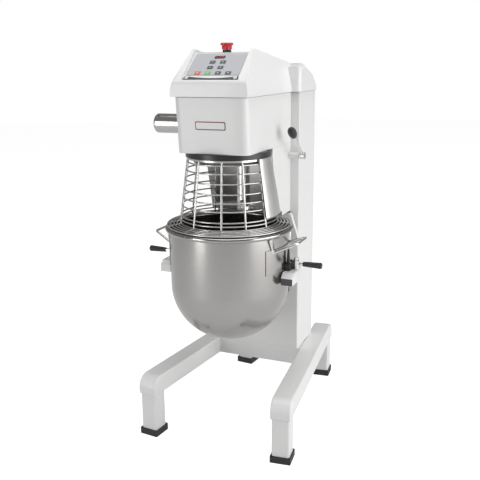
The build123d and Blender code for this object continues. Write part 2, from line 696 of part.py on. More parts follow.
def bowl_handles():
    """Bent rod handles, each hung from the rim by two short struts."""
    path = FilletPolyline((186, -274, 702), (263, -244, 733), (263, -150, 733), (186, -120, 702), radius=16)
    start = path % 0
    handle = sweep(Plane(origin=path @ 0, z_dir=start) * Circle(4.5), path=path)
    for side in (-1, 1):
        handle += rod((186.5, BOWL_Y + 100 * side, 751.8), (190.5, BOWL_Y + 80.5 * side, 702), 3.5)
    handle -= disc(BOWL_R, (600, 800)) + disc(BOWL_R + SIDE_PLATE, (600, SIDE_PLATE_Z[1]))
    return [handle, mirrored(handle)]


# ---------------------------------------------------------------- lifting carriage
def carriage_plate():
    """Thick plate in front of the column, wider at the foot of the yoke."""
    outline = Polygon((-137, 765), (137, 765), (166, 675), (166, 590), (136, 542), (-136, 542),
                      (-166, 590), (-166, 675), align=None)
    outline = fillet(outline.vertices(), 12)
    plate = extrude(Plane.XZ * outline, (PLATE_Y[1] - PLATE_Y[0]) / 2, both=True)
    return Pos(0, (PLATE_Y[0] + PLATE_Y[1]) / 2, 0) * plate


BLOCK_Z = (590.0, 740.0)
SLOT_PLATE_X = (30.0, 42.0)
PIN_Z = LIFT_Z + CRANK * math.sin(math.radians(45))
PIN_Y = LIFT_Y + CRANK * math.cos(math.radians(45))


def slide_block():
    """Casting that runs on the guide rods; its arm has the slot for the crank pin."""
    block = box((-112, 112), (PLATE_Y[1], 150), BLOCK_Z)
    for side in (-1, 1):
        block -= disc(23, (BLOCK_Z[0] - 1, BLOCK_Z[1] + 1), (side * ROD_X, ROD_Y))
    block += box(SLOT_PLATE_X, (100, 166), (BLOCK_Z[1] - 1, PIN_Z + 22))
    height = CRANK_PIN_R + SLOT_SPARE
    return block - box((20, 60), (107, 157), (PIN_Z - height, PIN_Z + height))


def slide_bushes():
    bushes = []
    for side in (-1, 1):
        for z in ((BLOCK_Z[0], BLOCK_Z[0] + 50), (BLOCK_Z[1] - 50, BLOCK_Z[1])):
            at = (side * ROD_X, ROD_Y)
            bushes.append(disc(23, z, at) - disc(ROD_R + FIT, z, at))
    return bushes


def bowl_yoke():
    """Forked cradle round the back of the bowl, bolted to the carriage plate."""
    inner, outer = YOKE_R
    ring = disc(outer, YOKE_Z) - disc(inner, YOKE_Z)
    ring &= box((-300, 300), (BOWL_Y, 100), YOKE_Z)
    arm = box((inner, outer), (YOKE_FRONT, BOWL_Y), YOKE_Z)
    arm = chamfer(arm.edges().filter_by(Axis.X).sort_by(Axis.Y)[:2].sort_by(Axis.Z)[-1:], 16)
    pad = box((-75, 75), (20, PLATE_Y[0]), YOKE_Z) - disc(inner + 1, YOKE_Z)
    yoke = ring + arm + mirrored(arm) + pad
    for side in (-1, 1):
        yoke -= disc(HORN_R, (612, 640), (side * HORN[0], HORN[1]))
        yoke -= disc(POST_R, (612, 640), (side * POST[0], POST[1]))
    return yoke


def bowl_horns():
    """Tapered pins that locate the bowl lugs; the wide part holds each lug down."""
    at = HORN
    tip = loft([Pos(*at, LUG_Z[1] + GAP) * Circle(6.8), Pos(*at, 703) * Circle(3)])
    horn = disc(HORN_R, (612, LUG_Z[1] + 1), at) + tip
    return [horn, mirrored(horn)]


def clamp_posts():
    post = disc(POST_R, (612, LATCH_TOP + 6), POST) + disc(9, (LATCH_TOP + GAP, LATCH_TOP + 8), POST)
    return [post, mirrored(post)]


def clamp_latch():
    """Turning latch: its nose bears on the bowl lug."""
    hub = disc(10, (YOKE_Z[1] + 0.4, LATCH_TOP), POST)
    nose = box((217.5, POST[0]), (POST[1] - 6, POST[1] + 6), (LUG_Z[1] + GAP, LATCH_TOP))
    nose = fillet(nose.edges().filter_by(Axis.Z).sort_by(Axis.X)[:2], 4)
    stem = rod((POST[0] + 5, POST[1], GRIP_Z), (GRIP_X[0] + 12, POST[1], GRIP_Z), 5)
    return hub + nose + stem - disc(POST_R + FIT, (600, 700), POST)


def clamp_grip():
    grip = rod((GRIP_X[0], POST[1], GRIP_Z), (GRIP_X[1], POST[1], GRIP_Z), GRIP_R)
    grip = fillet(grip.edges(), 5)
    return grip - rod((GRIP_X[0] - 1, POST[1], GRIP_Z), (GRIP_X[0] + 12, POST[1], GRIP_Z), 5)


# ---------------------------------------------------------------- lifting lever
def lift_point(x, radius, degrees):
    turn = math.radians(degrees)
    return (x, LIFT_Y + radius * math.cos(turn), LIFT_Z + radius * math.sin(turn))


def lift_shaft():
    return rod(lift_point(-20, 0, 0), lift_point(LEVER_X + 9, 0, 0), LIFT_SHAFT_R)


def lift_shaft_bearings():
    """Sleeve through the neck wall, and a hanger under the head."""
    sleeve = rod(lift_point(112, 0, 0), lift_point(165, 0, 0), 10.5)
    sleeve += rod(lift_point(112, 0, 0), lift_point(HEAD_HALF - SHEET, 0, 0), 20)
    hanger = rod(lift_point(-18, 0, 0), lift_point(-4, 0, 0), 15)
    hanger += box((-18, -4), (LIFT_Y - 15, LIFT_Y + 15), (LIFT_Z, HEAD_Z[0]))
    bore = rod(lift_point(-60, 0, 0), lift_point(200, 0, 0), LIFT_SHAFT_R + FIT)
    return [sleeve - bore, hanger - bore]


def lift_crank():
    """Crank inside the neck; its pin works in the slot of the slide block."""
    start, end = lift_point(10, 0, 0), lift_point(10, CRANK, 45)
    crank = rod(start, lift_point(26, 0, 0), 15) + rod(end, (26, *end[1:]), 12)
    along = math.radians(45)
    web = Plane(origin=start, x_dir=(0, math.cos(along), math.sin(along)), z_dir=(1, 0, 0))
    crank += web * Pos(CRANK / 2, 0, 8) * Box(CRANK, 20, 16)
    crank += rod((20, *end[1:]), (44, *end[1:]), CRANK_PIN_R)
    return crank - rod(lift_point(0, 0, 0), lift_point(40, 0, 0), LIFT_SHAFT_R)


def lift_lever():
    eye = rod(lift_point(LEVER_X - 9, 0, 0), lift_point(LEVER_X + 9, 0, 0), 13)
    reach = LEVER_LENGTH - KNOB_LENGTH + 20
    arm = rod(lift_point(LEVER_X, 10, LEVER_ANGLE), lift_point(LEVER_X, reach, LEVER_ANGLE), 5.5)
    return eye + arm - rod(lift_point(100, 0, 0), lift_point(200, 0, 0), LIFT_SHAFT_R)


def lever_knob():
    start = LEVER_LENGTH - KNOB_LENGTH
    knob = rod(lift_point(LEVER_X, start, LEVER_ANGLE), lift_point(LEVER_X, LEVER_LENGTH, LEVER_ANGLE), 15)
    knob = fillet(knob.edges(), 11)
    return knob - rod(lift_point(LEVER_X, start - 1, LEVER_ANGLE), lift_point(LEVER_X, start + 20, LEVER_ANGLE), 5.5)


# ---------------------------------------------------------------- write one file per sub-part
def sub_parts():
    beam, latch, grip = side_beam(), clamp_latch(), clamp_grip()
    makers = (base_plinth, column_shell, column_rear_cover, cover_screws, guide_rods, neck_housing,
              head_casing, top_cover, control_panel, panel_trim_strip, nameplate, estop_collar,
              estop_button, gearbox_case, shaft_bearings, ring_gear, planet_gear, planetary_drum,
              main_shaft, hub_drive_shaft, accessory_hub, tool_spindle, driven_pulley, motor_pulley,
              drive_belt, gear_motor, guard_collar, guard_cage, splash_sheet, bowl, bowl_side_plates,
              bowl_lugs, bowl_handles, carriage_plate, slide_block, slide_bushes, bowl_yoke, bowl_horns,
              clamp_posts, lift_shaft, lift_shaft_bearings, lift_crank, lift_lever, lever_knob)
    parts = {maker.__name__: maker() for maker in makers}
    parts.update({name: panel_key(place) for name, place in KEYS.items()})
    parts.update(side_beam_right=beam, side_beam_left=mirrored(beam),
                 leg_tubes=at_feet(leg_tube()), rubber_feet=at_feet(rubber_foot()),
                 right_clamp_latch=latch, left_clamp_latch=mirrored(latch),
                 right_clamp_grip=grip, left_clamp_grip=mirrored(grip))
    return parts


os.makedirs("parts", exist_ok=True)
for node, shape in sub_parts().items():
    solids = Compound(children=shape) if isinstance(shape, list) else shape
    export_step(solids, f"parts/{node}.step")
    print(f"{node:22s} {solids.volume / 1000:9.1f} cm3")
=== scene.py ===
# %% [markdown]
# Commercial stand mixer: the looks.
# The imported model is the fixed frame. Measures are in metres: they are read from its nodes, or
# stated by name where a detail has no node of its own. Each step has a note first and then a code
# cell.

# %% Load the frame
import math

import bmesh
import bpy
from mathutils import Matrix, Vector
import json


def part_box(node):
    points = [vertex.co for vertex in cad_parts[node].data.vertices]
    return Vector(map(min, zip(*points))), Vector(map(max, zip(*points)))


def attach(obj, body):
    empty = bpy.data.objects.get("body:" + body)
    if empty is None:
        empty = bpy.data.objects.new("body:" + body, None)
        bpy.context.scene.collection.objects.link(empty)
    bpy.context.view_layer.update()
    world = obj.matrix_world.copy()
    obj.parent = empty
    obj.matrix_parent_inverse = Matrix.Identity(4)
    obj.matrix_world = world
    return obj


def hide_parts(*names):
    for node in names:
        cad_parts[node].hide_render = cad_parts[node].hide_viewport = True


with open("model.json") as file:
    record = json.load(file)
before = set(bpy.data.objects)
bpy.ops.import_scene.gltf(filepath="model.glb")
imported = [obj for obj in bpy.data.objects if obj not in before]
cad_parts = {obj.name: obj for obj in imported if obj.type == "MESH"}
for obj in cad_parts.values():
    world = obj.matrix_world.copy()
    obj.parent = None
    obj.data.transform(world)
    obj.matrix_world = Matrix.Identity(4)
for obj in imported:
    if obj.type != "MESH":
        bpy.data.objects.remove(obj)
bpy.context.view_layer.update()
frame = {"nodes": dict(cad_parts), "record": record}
scene = bpy.context.scene
record = frame["record"]
BODY_OF = {node: body for body, nodes in record["behaviour"]["bodies"].items() for node in nodes}
SLOT_OF = {part["node"]: part["material_slot"] for part in record["subparts"]}

# %% [markdown]
# The camera stands in front and to the right, about as high as the head, and looks slightly down.
# Its axes are built from azimuth, elevation and roll, so the view can be read as three plain
# angles.

# %% Camera
CAMERA_AT = Vector((0.96955, -2.36592, 1.31390))
AZIMUTH, ELEVATION, ROLL = (math.radians(angle) for angle in (23.2158, 14.2334, -0.5481))


def camera_matrix():
    back = Vector((math.sin(AZIMUTH) * math.cos(ELEVATION),
                   -math.cos(AZIMUTH) * math.cos(ELEVATION), math.sin(ELEVATION)))
    level = Vector((math.cos(AZIMUTH), math.sin(AZIMUTH), 0))
    upright = level.cross(-back)
    right = level * math.cos(ROLL) + upright * math.sin(ROLL)
    up = upright * math.cos(ROLL) - level * math.sin(ROLL)
    return Matrix.Translation(CAMERA_AT) @ Matrix((right, up, back)).transposed().to_4x4()


camera_data = bpy.data.cameras.new("camera")
camera_data.sensor_width = 36.0
camera_data.lens = 53.0
camera_data.clip_end = 50.0
camera = bpy.data.objects.new("camera", camera_data)
camera.matrix_world = camera_matrix()
scene.collection.objects.link(camera)
scene.camera = camera
print("camera: lens", camera_data.lens, "mm")

# %% [markdown]
# A white machine on a white ground needs soft, wide light, or its edges disappear. A dim world
# gives the base level, though the camera sees it as white paper. One wide panel hangs overhead,
# one stands on the right so that the right-hand faces are lighter than the fronts, and a tall
# narrow one at the front left draws a bright line down round steel.

# %% Floor, world and lights
LIGHTS = {  # place, target, size (x, y), power in watts
    "overhead": ((0.2, -0.2, 4.2), (0, 0, 0.8), (3.0, 3.0), 70),
    "right_panel": ((3.6, -0.2, 1.2), (0, 0, 0.8), (3.4, 3.0), 100),
    "front_left_strip": ((-1.9, -3.3, 1.1), (0, -0.2, 0.8), (1.2, 2.4), 40),
}
WORLD_LIGHT, WORLD_SEEN = 0.26, 1.0     # strength as a light and to the camera


def soft_light(name, place, target, size, power):
    data = bpy.data.lights.new(name, "AREA")
    data.shape = "RECTANGLE"
    data.size, data.size_y = size
    data.energy = power
    light = bpy.data.objects.new(name, data)
    light.location = place
    light.rotation_euler = (Vector(target) - Vector(place)).to_track_quat("-Z", "Y").to_euler()
    scene.collection.objects.link(light)


for light_name, settings in LIGHTS.items():
    soft_light(light_name, *settings)

world = bpy.data.worlds.new("studio")
world.use_nodes = True
world_tree = world.node_tree
backdrop = world_tree.nodes["Background"]
backdrop.inputs["Color"].default_value = (1, 1, 1, 1)
seen = world_tree.nodes.new("ShaderNodeLightPath")
strength = world_tree.nodes.new("ShaderNodeMapRange")
strength.inputs["To Min"].default_value = WORLD_LIGHT
strength.inputs["To Max"].default_value = WORLD_SEEN
world_tree.links.new(seen.outputs["Is Camera Ray"], strength.inputs["Value"])
world_tree.links.new(strength.outputs["Result"], backdrop.inputs["Strength"])
scene.world = world
scene.view_settings.view_transform = "Standard"
print("lights:", ", ".join(LIGHTS))

# %% [markdown]
# Every finish below is made of a few shared effects. Each effect is one node group with named
# sockets: a material places the group, sets its own values, and feeds the result to the
# Principled shader. The small helpers here add nodes and wire them by name, so that a material
# reads like a recipe.

# %% Node helpers
def new_group(name, inputs, outputs):
    """Empty node group; inputs are name to (socket type, default), outputs name to socket type."""
    group = bpy.data.node_groups.new(name, "ShaderNodeTree")
    for label, (kind, default) in inputs.items():
        socket = group.interface.new_socket(label, in_out="INPUT",
                                            socket_type="NodeSocket" + kind)
        socket.default_value = default
    for label, kind in outputs.items():
        group.interface.new_socket(label, in_out="OUTPUT", socket_type="NodeSocket" + kind)
    return group, group.nodes.new("NodeGroupInput"), group.nodes.new("NodeGroupOutput")


def add(tree, kind, values=(), **settings):
    """New node; settings are its properties and values its input sockets, numbers or links."""
    node = tree.nodes.new("ShaderNode" + kind)
    for key, value in settings.items():
        setattr(node, key, value)
    for key, value in dict(values).items():
        if isinstance(value, bpy.types.NodeSocket):
            tree.links.new(value, node.inputs[key])
        else:
            node.inputs[key].default_value = value
    return node


def sums(tree, operation, first, second=0.0):
    return add(tree, "Math", {0: first, 1: second}, operation=operation).outputs[0]


def finish_effect(tree, out, colour, level, rough, height, strength, distance):
    """The end that both effects share: scale the colour, give the roughness, make the bump."""
    toned = add(tree, "VectorMath", {0: colour, "Scale": level}, operation="SCALE")
    bump = add(tree, "Bump", {"Strength": strength, "Distance": distance, "Height": height})
    tree.links.new(toned.outputs[0], out.inputs["Colour"])
    tree.links.new(rough, out.inputs["Roughness"])
    tree.links.new(bump.outputs[0], out.inputs["Normal"])


# %% [markdown]
# Powder coat is never mirror flat: it has a fine pebble, like orange peel, and a slow drift in
# tone from spray and cleaning. Two noises do it, one at about a millimetre and one at hand size.

# %% Effect: coated surface
PEBBLE_HEIGHT = 0.0002
EFFECT_OUTPUTS = {"Colour": "Color", "Roughness": "Float", "Normal": "Vector"}


def make_coat_effect():
    tree, given, out = new_group(
        "coated surface",
        {"Vector": ("Vector", (0, 0, 0)), "Colour": ("Color", (1, 1, 1, 1)),
         "Tone": ("Float", 0.02), "Roughness": ("Float", 0.4), "Pebble": ("Float", 0.2),
         "Pebble scale": ("Float", 700.0)}, EFFECT_OUTPUTS)
    given = given.outputs
    drift = add(tree, "TexNoise", {"Vector": given["Vector"], "Scale": 5.0, "Detail": 3.0})
    pebble = add(tree, "TexNoise", {"Vector": given["Vector"], "Scale": given["Pebble scale"],
                                    "Detail": 2.0})
    centred = sums(tree, "SUBTRACT", drift.outputs["Fac"], 0.5)
    level = sums(tree, "ADD", sums(tree, "MULTIPLY", centred, given["Tone"]), 1.0)
    rough = sums(tree, "ADD", given["Roughness"], sums(tree, "MULTIPLY", centred, 0.15))
    finish_effect(tree, out, given["Colour"], level, rough,
                  pebble.outputs["Fac"], given["Pebble"], PEBBLE_HEIGHT)
    return tree


coat_effect = make_coat_effect()

# %% [markdown]
# Brushed steel shows hair-fine lines that follow the way the sheet was polished. On a bowl that
# is round its axis, so the lines are rings: noise read very densely along the height and the
# radius, and only slowly round the turn. The same noise changes both the sheen and a very shallow
# bump.

# %% Effect: brushed in rings
LINE_HEIGHT = 0.0001


def make_ring_brush_effect():
    tree, given, out = new_group(
        "brushed in rings",
        {"Vector": ("Vector", (0, 0, 0)), "Colour": ("Color", (1, 1, 1, 1)),
         "Line density": ("Float", 900.0), "Contrast": ("Float", 0.1),
         "Roughness": ("Float", 0.25), "Depth": ("Float", 0.2)}, EFFECT_OUTPUTS)
    given = given.outputs
    x, y, z = add(tree, "SeparateXYZ", {"Vector": given["Vector"]}).outputs
    squares = sums(tree, "ADD", sums(tree, "MULTIPLY", x, x), sums(tree, "MULTIPLY", y, y))
    radius = sums(tree, "SQRT", squares)
    along = sums(tree, "MULTIPLY", sums(tree, "ADD", z, radius), given["Line density"])
    turn = sums(tree, "MULTIPLY", sums(tree, "ARCTAN2", y, x), 3.0)
    line_place = add(tree, "CombineXYZ", {"X": turn, "Y": along, "Z": 0.0}).outputs[0]
    lines = add(tree, "TexNoise", {"Vector": line_place, "Scale": 1.0, "Detail": 4.0})
    blotch = add(tree, "TexNoise", {"Vector": given["Vector"], "Scale": 9.0, "Detail": 3.0})
    mixed = sums(tree, "ADD", sums(tree, "MULTIPLY", lines.outputs["Fac"], 0.7),
                 sums(tree, "MULTIPLY", blotch.outputs["Fac"], 0.3))
    centred = sums(tree, "SUBTRACT", mixed, 0.5)
    level = sums(tree, "ADD", sums(tree, "MULTIPLY", centred, given["Contrast"]), 1.0)
    rough = sums(tree, "ADD", given["Roughness"], sums(tree, "MULTIPLY", centred, 0.3))
    finish_effect(tree, out, given["Colour"], level, rough,
                  lines.outputs["Fac"], given["Depth"], LINE_HEIGHT)
    return tree


ring_brush_effect = make_ring_brush_effect()
print("effects:", coat_effect.name, "and", ring_brush_effect.name)

# %% [markdown]
# A finish is one material. Its plain values, such as metal or not, sit on the shader itself; what
# changes over the surface comes from an effect. Painted steel, moulded plastic and rubber all use
# the coated effect with other numbers, and the steels use the brushed one, centred on the bowl
# axis.

# %% Materials
def box_middle(node):
    low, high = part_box(node)
    return (low + high) / 2


BOWL_AXIS = box_middle("bowl") * Vector((1, 1, 0))
HUB_AXIS = box_middle("accessory_hub") * Vector((0, 1, 1))
TURN_TO_HUB = (0, math.radians(90), 0)


def new_material(name):
    material = bpy.data.materials.new(name)
    material.use_nodes = True
    return material, material.node_tree, material.node_tree.nodes["Principled BSDF"]


def feed(tree, shader, effect, values):
    """Place an effect's group with its values and wire it to the shader."""
    node = add(tree, "Group", values, node_tree=effect)
    tree.links.new(node.outputs["Colour"], shader.inputs["Base Color"])
    tree.links.new(node.outputs["Roughness"], shader.inputs["Roughness"])
    tree.links.new(node.outputs["Normal"], shader.inputs["Normal"])


def coated(name, colour, roughness, pebble=0.2, scale=700.0, tone=0.02, coat=0.0, specular=0.5):
    """Paint, plastic or rubber."""
    material, tree, shader = new_material(name)
    place = add(tree, "TexCoord").outputs["Object"]
    feed(tree, shader, coat_effect, {"Vector": place, "Colour": (*colour, 1), "Tone": tone,
                                     "Roughness": roughness, "Pebble": pebble,
                                     "Pebble scale": scale})
    shader.inputs["Coat Weight"].default_value = coat
    shader.inputs["Specular IOR Level"].default_value = specular
    return material


def brushed(name, colour, roughness, density=900.0, contrast=0.1, depth=0.2, centre=BOWL_AXIS,
            turn=(0, 0, 0)):
    """Steel with its polishing lines round an axis through centre, upright unless turned."""
    material, tree, shader = new_material(name)
    place = add(tree, "TexCoord").outputs["Object"]
    place = add(tree, "Mapping", {"Vector": place, "Location": -centre}).outputs[0]
    if any(turn):
        place = add(tree, "Mapping", {"Vector": place, "Rotation": turn}).outputs[0]
    feed(tree, shader, ring_brush_effect, {"Vector": place, "Colour": (*colour, 1),
                                           "Line density": density, "Contrast": contrast,
                                           "Roughness": roughness, "Depth": depth})
    shader.inputs["Metallic"].default_value = 1.0
    return material


finish = {
    "white_enamel": coated("white enamel", (0.84, 0.84, 0.835), 0.36, pebble=0.25, coat=0.15),
    "lid_plastic": coated("lid plastic", (0.87, 0.87, 0.868), 0.32, pebble=0.12, scale=420.0,
                          coat=0.2),
    "brushed_stainless": brushed("brushed stainless", (0.40, 0.39, 0.38), 0.2, contrast=0.3,
                                 depth=0.3),
    "polished_stainless": brushed("polished stainless", (0.74, 0.73, 0.715), 0.16,
                                  contrast=0.08, depth=0.05),
    "hub_steel": brushed("hub steel", (0.48, 0.47, 0.46), 0.2, contrast=0.12, centre=HUB_AXIS,
                         turn=TURN_TO_HUB),
    "splash_steel": brushed("splash steel", (0.78, 0.77, 0.755), 0.36, contrast=0.2, depth=0.25),
    "wire_steel": brushed("wire steel", (0.60, 0.59, 0.58), 0.27, contrast=0.06, depth=0.0),
    "ground_steel": brushed("ground steel", (0.50, 0.50, 0.51), 0.3, density=500.0,
                            contrast=0.15),
    "cast_iron": coated("cast iron", (0.16, 0.165, 0.17), 0.55, pebble=0.8, scale=350.0,
                        tone=0.2),
    "bronze": brushed("sintered bronze", (0.50, 0.33, 0.16), 0.4),
    "motor_aluminium": brushed("cast aluminium", (0.50, 0.52, 0.55), 0.45, density=300.0),
    "black_rubber": coated("black rubber", (0.022, 0.022, 0.024), 0.62, pebble=0.7,
                           scale=500.0, tone=0.3),
    "black_plastic": coated("black plastic", (0.018, 0.018, 0.02), 0.34, pebble=0.3,
                            scale=900.0, tone=0.2),
    "panel_film": coated("keypad film", (0.53, 0.54, 0.57), 0.42, pebble=0.15, scale=1500.0),
    "charcoal_trim": coated("charcoal trim", (0.06, 0.062, 0.066), 0.38, scale=1200.0),
    "badge_film": coated("badge film", (0.80, 0.80, 0.81), 0.25, pebble=0.05),
    "badge_line": coated("badge line", (0.50, 0.09, 0.08), 0.35, pebble=0.0),
    "red_plastic": coated("red plastic", (0.62, 0.012, 0.02), 0.28, pebble=0.1, coat=0.3),
    "stop_orange": coated("stop key", (0.90, 0.16, 0.05), 0.45, pebble=0.15, scale=1500.0),
    "start_green": coated("start key", (0.20, 0.62, 0.13), 0.45, pebble=0.15, scale=1500.0),
    "key_grey": coated("grey key", (0.10, 0.10, 0.11), 0.45, pebble=0.15, scale=1500.0),
    "key_mark": coated("key mark", (0.62, 0.62, 0.64), 0.45, pebble=0.05),
    "display_window": coated("display window", (0.012, 0.006, 0.006), 0.12, pebble=0.0,
                             coat=0.4),
    "display_digit": coated("display digit", (0.45, 0.01, 0.01), 0.4, pebble=0.0),
    "screw_cap": coated("screw cap", (0.86, 0.86, 0.86), 0.3, pebble=0.05),
}
print("finishes:", len(finish))

# %% [markdown]
# Sheet steel and castings have no knife edges. A copy of each plain node is merged, its flat
# triangles are joined into whole faces, and a live bevel with weighted normals rounds what is
# left. The copy is the visible piece; the node itself stays hidden for collision. The wire cage
# is round already, so it is only merged and smoothed.

# %% Rounded copies of the plain nodes
MERGE = 2e-5                # metres between points that are one
FLAT = math.radians(0.6)    # faces closer than this lie in one plane
EDGE = math.radians(32)     # edges sharper than this are real edges
STEEP_EDGE = math.radians(60)


def finish_piece(piece, material, body):
    piece.data.materials.clear()
    piece.data.materials.append(material)
    scene.collection.objects.link(piece)
    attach(piece, body)
    return piece


def from_bmesh(name, bm, sharp=EDGE):
    """Object from a bmesh: smooth faces, with the edges over the given angle kept sharp."""
    for face in bm.faces:
        face.smooth = True
    for edge in bm.edges:
        edge.smooth = not (edge.is_manifold and edge.calc_face_angle(0) > sharp)
    mesh = bpy.data.meshes.new(name)
    bm.to_mesh(mesh)
    bm.free()
    return bpy.data.objects.new(name, mesh)


def soften(piece, width):
    bevel = piece.modifiers.new("rounded edges", "BEVEL")
    bevel.width, bevel.segments, bevel.angle_limit = width, 2, EDGE
    bevel.limit_method = "ANGLE"
    bevel.miter_outer = "MITER_ARC"
    normals = piece.modifiers.new("even shading", "WEIGHTED_NORMAL")
    normals.keep_sharp = True
    return piece


def rounded_copy(node, width):
    bm = bmesh.new()
    bm.from_mesh(frame["nodes"][node].data)
    bmesh.ops.remove_doubles(bm, verts=bm.verts, dist=MERGE)
    bmesh.ops.dissolve_limit(bm, angle_limit=FLAT, verts=bm.verts, edges=bm.edges)
    piece = from_bmesh("smooth_" + node, bm, sharp=STEEP_EDGE)
    finish_piece(piece, finish[OWN_FINISH.get(node, SLOT_OF[node])], BODY_OF[node])
    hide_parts(node)
    return soften(piece, width) if width else piece


EDGE_ROUNDING = {
    "side_beam_left": 0.0035, "side_beam_right": 0.0035, "leg_tubes": 0.0015,
    "rubber_feet": 0.003, "base_plinth": 0.002, "column_shell": 0.0025,
    "column_rear_cover": 0.001, "neck_housing": 0.002, "head_casing": 0.0025,
    "carriage_plate": 0.002, "bowl_yoke": 0.003, "bowl_lugs": 0.002, "top_cover": 0.006,
    "accessory_hub": 0.0015, "right_clamp_latch": 0.0012, "left_clamp_latch": 0.0012,
    "clamp_posts": 0.001, "cover_screws": 0.0006, "panel_trim_strip": 0.0005,
    "control_panel": 0.0005, "estop_collar": 0.001, "tool_spindle": 0.001,
    "lift_shaft_bearings": 0.001, "lift_lever": 0.0015, "guard_collar": 0.0012,
    "slide_block": 0.002, "planetary_drum": 0.002, "guard_cage": None, "bowl": 0.0005,
    "splash_sheet": 0.0003, "bowl_handles": 0.0005, "bowl_side_plates": 0.0008,
    "bowl_horns": 0.0008,
}
OWN_FINISH = {"splash_sheet": "splash_steel", "guard_cage": "wire_steel",
              "accessory_hub": "hub_steel"}
rounded = {node: rounded_copy(node, width) for node, width in EDGE_ROUNDING.items()}
print("rounded copies:", len(rounded))

# %% [markdown]
# The yoke's right arm has painted shade on its front face: that face gets a second material, the
# dark trim colour, standing for the shade that falls there. Faces are picked by where they look
# and where they are, and the rest keeps its paint.
# Faces are picked by where they look and where they are, and the rest keeps its paint.

# %% Painted shade on the yoke's right front face
yoke_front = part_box("bowl_yoke")[0].y
yoke = rounded["bowl_yoke"]
# painted shade: the dark trim colour here stands for shade on the right arm's front face
yoke.data.materials.append(finish["charcoal_trim"])
for face in yoke.data.polygons:
    looks_forward = face.normal.y < -0.99
    if looks_forward and face.center.y < yoke_front + 0.001 and face.center.x > 0:
        face.material_index = 1

# %% [markdown]
# Turned parts, such as grips and knobs, are one outline spun round an axis. The outline is a list
# of pairs, distance along the axis and radius, and it starts and ends on the axis, so the shape
# is closed. A matrix then carries the finished shape to its place.

# %% Helper: turned shapes
def turned(name, outline, place, steps=48, sharp=EDGE):
    bm = bmesh.new()
    verts = [bm.verts.new((radius, 0, along)) for along, radius in outline]
    edges = [bm.edges.new(pair) for pair in zip(verts, verts[1:])]
    bmesh.ops.spin(bm, geom=verts + edges, cent=(0, 0, 0), axis=(0, 0, 1), dvec=(0, 0, 0),
                   angle=math.tau, steps=steps, use_merge=True, use_duplicate=False)
    bmesh.ops.remove_doubles(bm, verts=bm.verts, dist=1e-6)
    bmesh.ops.recalc_face_normals(bm, faces=bm.faces)
    bmesh.ops.transform(bm, matrix=place, verts=bm.verts)
    return from_bmesh(name, bm, sharp)


def facing(origin, direction):
    """Matrix that carries local z to a direction, from an origin."""
    turn = Vector(direction).to_track_quat("Z", "Y").to_matrix().to_4x4()
    return Matrix.Translation(origin) @ turn


# %% [markdown]
# The two clamp grips are hard sleeves on a steel stem. Each one swells towards its end, has a row
# of shallow grooves, and finishes in a flat button. The outline runs from the stem outwards.

# %% Clamp grips
GROOVES, GROOVE_HALF, GROOVE_DEPTH = 11, 0.0012, 0.0006


def grip_outline(length, radius):
    points = [(0, 0), (0, radius * 0.62), (0.002, radius * 0.74)]
    for groove in range(1, GROOVES + 1):
        share = groove / (GROOVES + 1)
        along, swell = 0.004 + (length - 0.012) * share, radius * (0.78 + 0.20 * share)
        points += [(along - GROOVE_HALF, swell), (along, swell - GROOVE_DEPTH),
                   (along + GROOVE_HALF, swell)]
    return points + [(length - 0.006, radius), (length - 0.002, radius * 0.94),
                     (length, radius * 0.7), (length, 0)]


for side, body in ((1, "right_clamp"), (-1, "left_clamp")):
    node = body + "_grip"
    low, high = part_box(node)
    start = Vector((low.x if side > 0 else high.x, (low.y + high.y) / 2, (low.z + high.z) / 2))
    grip = turned("grip_" + body, grip_outline(high.x - low.x, (high.z - low.z) / 2),
                  facing(start, (side, 0, 0)), steps=40, sharp=math.radians(50))
    finish_piece(grip, finish["black_plastic"], body)
    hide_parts(node)
print("clamp grips: 2")

# %% [markdown]
# The lift lever ends in an egg-shaped knob. Its node's box gives the middle and the radius, and
# the knob's axis is the lever's own, which leans forwards and up in the plane of its swing.

# %% Lever knob
KNOB_HALF_LENGTH = 0.0265
LEVER_ANGLE = math.radians(141)     # from straight back, turning upwards
KNOB_STEPS = 24


def make_knob():
    low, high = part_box("lever_knob")
    radius = (high.x - low.x) / 2
    outline = [(-KNOB_HALF_LENGTH, 0)]
    for step in range(KNOB_STEPS - 1, 0, -1):
        angle = math.pi * step / KNOB_STEPS
        fuller = 1 + 0.04 * math.cos(angle)     # towards the outer end
        outline.append((KNOB_HALF_LENGTH * math.cos(angle),
                        radius * math.sin(angle) ** 0.72 * fuller))
    outline.append((KNOB_HALF_LENGTH, 0))
    lean = (0, math.cos(LEVER_ANGLE), math.sin(LEVER_ANGLE))
    return turned("lever_knob_egg", outline, facing((low + high) / 2, lean), steps=40,
                  sharp=math.pi)


knob = finish_piece(make_knob(), finish["black_plastic"], BODY_OF["lever_knob"])
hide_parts("lever_knob")

# %% [markdown]
# The emergency stop is a red mushroom: a wide flat head on a narrower ribbed skirt. The ribs are
# made from a plain ring whose corners are pushed in by turns, and head and skirt are two pieces.

# %% Emergency stop button
SKIRT_POINTS = 72       # round each ring of the skirt
RIB_WIDTH = 3           # points across a rib, and across the groove beside it
GROOVE_SCALE = 0.94
HEAD_THICK = 0.0085
LIFT_OFF_COLLAR = 0.0006


